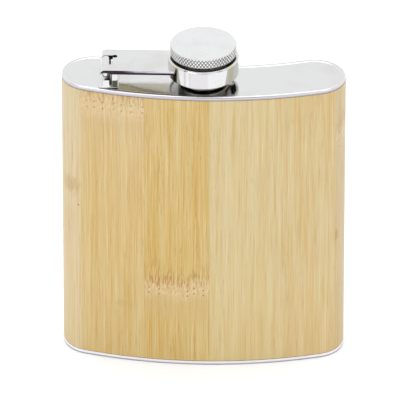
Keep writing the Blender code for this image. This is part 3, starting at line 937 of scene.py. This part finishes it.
# Hinge and arm ----------------------

PIN_BORE = 0.85 * MM
BRACKET_SHEET = 0.6 * MM
KNUCKLE_HALF = 2.8 * MM  # half the length of the bracket's knuckle
NOTCH = KNUCKLE_HALF + 0.15 * MM  # half the width of the arm's gap for it
ARM_SOFT_EDGE = 0.16 * MM


def build_bracket(material):
    """A pressed foot with a rolled knuckle in the middle, a rib under the pin and a rest."""
    low = bracket_low.z - PIN.z
    high = low + BRACKET_SHEET
    rib_top = -KNUCKLE_RADIUS - 0.3 * MM
    side = rounded([
        (-2.3 * MM, low, 0.1 * MM), (4.4 * MM, low, 0.1 * MM), (4.4 * MM, high, 0.25 * MM),
        (1.5 * MM, high, 0.7 * MM), (1.35 * MM, rib_top, 0.7 * MM),
        (-0.8 * MM, rib_top, 0.7 * MM), (-0.9 * MM, high, 0.7 * MM),
        (-2.3 * MM, high, 0.25 * MM),
    ], 5)
    bm = bmesh.new()
    half = (bracket_high.y - bracket_low.y) / 2
    add_bar(bm, side, -half, half, 0.3 * MM, PIN)
    rest_top = PLATE_UNDER - 0.3 * MM
    inside = low + BRACKET_SHEET / 2
    rest = rounded([
        (2.1 * MM, inside, 0), (4.2 * MM, inside, 0),
        (4.2 * MM, rest_top, 0.35 * MM), (2.1 * MM, rest_top, 0.35 * MM),
    ], 5)
    add_bar(bm, rest, -4.8 * MM, 4.8 * MM, 0.3 * MM, PIN)
    sheet = arc((0, 0), KNUCKLE_RADIUS - 0.02 * MM, -35, 232, 40)
    sheet += rounded([(-1.05 * MM, -2.0 * MM, 0.4 * MM), (-0.8 * MM, inside, 0),
                      (1.2 * MM, inside, 0), (1.25 * MM, -2.0 * MM, 0.4 * MM)], 4)
    add_bar(bm, sheet, -KNUCKLE_HALF, KNUCKLE_HALF, 0.2 * MM, PIN)
    return smooth(make_object("hinge_mount", bm, material))


def build_pin(material):
    """The hinge pin, with domed heads that are just visible in the rolled knuckles."""
    half = (pin_high.y - pin_low.y) / 2
    radius = 0.78 * MM
    stations = [(half - 0.25 * MM, radius), (half - 0.1 * MM, radius * 0.93),
                (half - 0.02 * MM, radius * 0.72), (half, radius * 0.4)]
    rows = []
    for y, r in [(-y, r) for y, r in reversed(stations)] + stations:
        rows.append([(PIN.x + x, PIN.y + y, PIN.z + z) for x, z in arc((0, 0), r, 0, 352.5, 47)])
    return skinned("hinge_rivet", rows, False, material)


def build_arm(material):
    """A thick sheet whose end is rolled round the pin, brazed to the collar at the other end."""
    reach = AXIS.x - PIN.x
    curl = arc((0, 0), KNUCKLE_RADIUS, 90, 352, 44)
    slit = [(1.66 * MM, -0.08 * MM), (1.40 * MM, -0.02 * MM), (1.02 * MM, -0.06 * MM)]
    inner = arc((0, 0), PIN_BORE, -8, -343, 44)
    side = curl + slit + inner + [(1.0 * MM, PLATE_UNDER), (1.4 * MM, PLATE_UNDER)]
    side += [(reach, PLATE_UNDER), (reach, KNUCKLE_RADIUS)]
    bm = bmesh.new()
    add_bar(bm, side, -ARM_HALF, ARM_HALF, 0.0)
    arm = make_object("hinge_arm", bm, material)

    cutters = []
    past = 4 * MM
    gap = rounded([(-past, -NOTCH, 0), (CUTOUT_REACH, -NOTCH, 0.25 * MM),
                   (CUTOUT_REACH, NOTCH, 0.25 * MM), (-past, NOTCH, 0)], 4)
    relief = arc((2.9 * MM, NOTCH - 0.5 * MM), 0.9 * MM, 0, 352.5, 47)
    seat = arc((reach, 0), COLLAR_RADIUS - 0.1 * MM, 0, 357.5, 143)
    for name, outline in (("gap", gap), ("relief", relief), ("seat", seat)):
        bm = bmesh.new()
        add_rows(bm, [[(x, y, level) for x, y in outline] for level in (-past, past)], False)
        cutters.append(make_object(name, bm, None))
    carved(arm, cutters)
    softened(arm, ARM_SOFT_EDGE)
    arm.location = PIN
    return arm


def build_collar(material):
    """The ring that carries the cap, with a chamfered lip and a shelf that stops the clip."""
    inside = COLLAR_RADIUS - 0.8 * MM
    shelf = 9.6 * MM
    shelf_z = collar_low.z + 5.0 * MM
    low, top = collar_low.z, collar_high.z
    profile = rounded([
        (inside, low, 0.2 * MM),
        (COLLAR_RADIUS, low, 0.8 * MM),
        (COLLAR_RADIUS, top - 0.45 * MM, 0.12 * MM),
        (COLLAR_RADIUS - 0.5 * MM, top, 0.15 * MM),
        (shelf, top, 0.2 * MM),
        (shelf, shelf_z, 0.08 * MM),
        (inside, shelf_z, 0.1 * MM),
    ], 5)
    return turned("cap_collar", profile, True, material, 160)


# Cap --------------------------------

KNURLS = 60
KNURL_STEPS = 8  # points of the mesh to a knurl, both ways
KNURL_PITCH_Z = 1.55 * MM
KNURL_LAND = 0.55  # the part of the pitch that isn't cut


def knurl(angle, z):
    """How far a diamond knurl is cut in at an angle and height: two crossed sets of V grooves."""
    turn = angle / math.tau * KNURLS
    climb = (z - head_low.z) / KNURL_PITCH_Z
    cut = max(abs((turn + climb) % 1 - 0.5), abs((turn - climb) % 1 - 0.5)) * 2
    return max(0, (cut - KNURL_LAND) / (1 - KNURL_LAND))


def build_head(material):
    """The knurled head: a flat top, a pocket for the sleeve, and edges that round off."""
    low, top = head_low.z, head_high.z
    pocket = 9.45 * MM
    edge = 0.2 * MM

    def band(angle, z):
        near_edge = max(0, 1 - min(z - low, top - z) / edge)
        cut = KNURL_DEPTH * knurl(angle, z) * (1 - near_edge)
        return HEAD_RADIUS - cut - edge * near_edge * near_edge

    profile = [(pocket, top - 1.15 * MM), (pocket, low), (HEAD_RADIUS - edge - 0.3 * MM, low)]
    profile += [(band, z) for z in levels(low, top, KNURL_PITCH_Z / KNURL_STEPS)]
    for inset, drop in ((0.36, 0.0), (0.6, 0.01), (3.0, 0.01), (8.0, 0.01)):
        profile.append((HEAD_RADIUS - inset * MM, top - drop * MM))
    return turned("cap_knob", profile, False, material, KNURLS * KNURL_STEPS)


def build_barrel(material):
    """The sleeve under the head, closed at the top, threaded inside and grooved for the clip."""
    outer = (barrel_high.x - barrel_low.x) / 2
    end = 8.5 * MM
    groove = 8.05 * MM
    bore = 7.6 * MM
    groove_low = collar_low.z
    groove_high = groove_low + 1.4 * MM
    bottom = barrel_low.z
    lid = barrel_high.z - 1.2 * MM
    thread_low = bottom + 0.6 * MM
    thread_high = bottom + 5 * THREAD_PITCH
    thread = helix(bore, 7.2 * MM, thread_low, thread_high)
    hub = 4.0 * MM
    outside = rounded([
        (hub, barrel_high.z, 0), (outer, barrel_high.z, 0.15 * MM),
        (outer, groove_high, 0.12 * MM), (groove, groove_high, 0.05 * MM),
        (groove, groove_low, 0.05 * MM), (end, groove_low, 0.12 * MM),
        (end, bottom, 0.5 * MM), (bore + 0.1 * MM, bottom, 0.15 * MM),
        (bore, bottom + 0.5 * MM, 0),
    ], 4)
    inside = [(thread, z) for z in levels(thread_low, thread_high, 0.13 * MM)]
    inside += [(bore, lid - 0.2 * MM), (bore - 0.2 * MM, lid), (hub, lid)]
    return turned("cap_sleeve", outside + inside, False, material, 128)


def build_gasket(material):
    """A seal disc with a shallow groove pressed into its underside."""
    radius = (gasket_high.x - gasket_low.x) / 2
    hub = 3.5 * MM
    low, top = gasket_low.z, gasket_high.z
    pressed = low + 0.15 * MM
    profile = rounded([(hub, top, 0), (radius, top, 0.2 * MM), (radius, low, 0.3 * MM),
                       (6.2 * MM, low, 0.1 * MM), (6.1 * MM, pressed, 0.1 * MM),
                       (5.0 * MM, pressed, 0.1 * MM), (4.9 * MM, low, 0.1 * MM),
                       (hub, low, 0)], 4)
    return turned("seal_disc", profile, False, material, 96)


def build_clip(material):
    """An open ring with rounded edges, in the groove of the cap's sleeve."""
    outer = 10.8 * MM
    inner = 8.2 * MM
    gap = math.radians(36)
    section = rounded([(inner, clip_low.z, 0.12 * MM), (outer, clip_low.z, 0.12 * MM),
                       (outer, clip_high.z, 0.12 * MM), (inner, clip_high.z, 0.12 * MM)], 3)
    rows = []
    steps = 96
    for i in range(steps + 1):
        angle = gap / 2 + (math.tau - gap) * i / steps
        rows.append([(AXIS.x + r * math.cos(angle), AXIS.y + r * math.sin(angle), z)
                     for r, z in section])
    return skinned("clip_ring", rows, False, material)


# Studio -----------------------------

FLOOR_TONES = ((0.915, 0.918, 0.94, 1), (0.93, 0.933, 0.955, 1))
FLOOR_REACH = 8.0


def studio_floor():
    g = Graph("studio_floor")
    shade = g.noise(g.position_mm(), scale=0.002)
    color = g.mix(g.smoothstep(shade, 0.3, 0.7), *FLOOR_TONES)
    g.to_shader(Base_Color=color, Roughness=0.9, Specular_IOR_Level=0.1)
    bm = bmesh.new()
    corners = ((-1, -1), (1, -1), (1, 1), (-1, 1))
    bm.faces.new([bm.verts.new((FLOOR_REACH * x, FLOOR_REACH * y, 0)) for x, y in corners])
    floor = make_object("studio_floor", bm, g.material)


WORLD_STRENGTH = 1.19
WORLD_HORIZON = (0.92, 0.925, 0.94, 1)
WORLD_UPPER = (0.985, 1.0, 1.015, 1)
ROOM_DARK = (0.17, 0.16, 0.125, 1)
ROOM_OLIVE = (0.90, 0.88, 0.70, 1)


class World(Graph):
    """The nodes of the world, with the same tools as a material's."""

    def __init__(self, name):
        world = bpy.data.worlds.new(name)
        bpy.context.scene.world = world
        world.use_nodes = True
        self.tree = world.node_tree
        self.background = self.tree.nodes["Background"]


def studio_world():
    """Soft white light all round. Polished metal also sees the room: dark behind the camera and
    in a tall band on each side of it, with lights between them, and olive farther round."""
    g = World("studio")
    x, y, z = g.split(g.node("ShaderNodeTexCoord").outputs["Generated"])
    soft_light = g.mix(g.smoothstep(z, 0.0, 0.5), WORLD_HORIZON, WORLD_UPPER)

    facing = g.divide(g.times(y, -1.0), g.length(x, y))
    behind_camera = g.smoothstep(facing, 0.89, 0.95)
    beside = g.between(facing, 0.22, 0.50, 0.05)
    farther = g.between(facing, -0.45, 0.02, 0.06)
    low = g.smoothstep(z, 0.70, 0.90, 1.0, 0.0)
    polished_sees = g.mix(g.times(farther, low), soft_light, ROOM_OLIVE)
    room = g.times(g.math("MAXIMUM", behind_camera, beside), low)
    polished_sees = g.mix(room, polished_sees, ROOM_DARK)

    glossy = g.node("ShaderNodeLightPath").outputs["Is Glossy Ray"]
    g.feed(g.mix(glossy, soft_light, polished_sees), g.background.inputs["Color"])
    g.background.inputs["Strength"].default_value = WORLD_STRENGTH


# Lights: name, place, what it points at, width and height in metres, and watts.
LIGHTS = (
    ("overhead_light", (0, 0.1, 1.1), (0, 0, 0), (0.9, 0.7), 3.0),
    ("key_light", (-0.35, -0.55, 0.75), (0, 0, 0.06), (0.6, 0.5), 0.9),
    ("fill_light", (0.6, -0.45, 0.5), (0, 0, 0.06), (0.6, 0.5), 0.5),
)


def area_light(name, location, aim, size, power):
    data = bpy.data.lights.new(name, "AREA")
    data.shape = "RECTANGLE"
    data.size, data.size_y = size
    data.energy = power
    light = bpy.data.objects.new(name, data)
    bpy.context.scene.collection.objects.link(light)
    light.location = location
    light.rotation_euler = (Vector(aim) - Vector(location)).to_track_quat("-Z", "Y").to_euler()


ELEVATION = math.radians(31.8)
AZIMUTH = math.radians(1.7)
CAMERA_DISTANCE = 3.0
PICTURE_WIDTH = 0.1346  # of what the picture shows at the flask
FLASK_MIDDLE = Vector((0, -0.00109, 0.0529))
AIM_LEFT = 1.12 * MM
AIM_UP = 4.55 * MM
SENSOR_WIDTH = 36


def studio_camera():
    data = bpy.data.cameras.new("camera")
    camera = bpy.data.objects.new("camera", data)
    bpy.context.scene.collection.objects.link(camera)
    right = Vector((math.cos(AZIMUTH), math.sin(AZIMUTH), 0))
    back = Vector((right.y, -right.x, math.tan(ELEVATION))).normalized()
    up = back.cross(right)
    aim = FLASK_MIDDLE - right * AIM_LEFT + up * AIM_UP
    camera.location = aim + back * CAMERA_DISTANCE
    camera.rotation_mode = "QUATERNION"
    camera.rotation_quaternion = (-back).to_track_quat("-Z", "Y")
    data.sensor_width = SENSOR_WIDTH
    data.lens = SENSOR_WIDTH * CAMERA_DISTANCE / PICTURE_WIDTH
    data.clip_start = 0.05
    data.clip_end = 50
    bpy.context.scene.camera = camera


def main():
    polished = polished_steel("polished_steel_sheet", finish=ground_edges_painted_light)
    polished_neck = polished_steel("polished_steel_neck")
    polished_arm = polished_steel("polished_steel_arm", 0.06, arm_painted_reflections)
    polished_bracket = polished_steel("polished_steel_bracket", 0.06)
    polished_collar = spun_steel("polished_steel_turned")
    drawn = satin_steel("drawn_steel", drawn_marks)
    fittings = satin_steel("pin_steel", drawn_marks, 0.2)
    # The sleeve's steel is darkened as painted shade for the gap under the cap's head.
    barrel_shaded_steel = satin_steel("turned_steel_painted_shade", lathe_marks, 0.3, TURNED_RELIEF,
                               (GAP_SHADE_STEEL, GAP_SHADE_STEEL_DEEP))

    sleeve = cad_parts["body_sleeve"]
    sleeve.data.materials.clear()
    sleeve.data.materials.append(drawn)

    build_bamboo()
    settle(build_top_plate(polished), "flask", "top_plate")
    settle(build_base_plate(polished), "flask", "base_plate")
    settle(build_neck(polished_neck), "flask", "neck_spout")
    settle(build_bracket(polished_bracket), "flask", "hinge_bracket")
    settle(build_pin(fittings), "flask", "hinge_pin")
    settle(build_arm(polished_arm), "arm", "arm_plate")
    settle(build_collar(polished_collar), "arm", "arm_collar")
    settle(build_head(knurled_steel("knurled_steel_head")), "cap", "cap_head")
    settle(build_barrel(barrel_shaded_steel), "cap", "cap_barrel")
    settle(build_gasket(silicone("white_silicone")), "cap", "cap_gasket")
    settle(build_clip(fittings), "cap_carrier", "retaining_clip")

    studio_floor()
    studio_world()
    studio_camera()
    for light in LIGHTS:
        area_light(*light)
    bpy.context.scene.view_settings.view_transform = "Standard"


main()
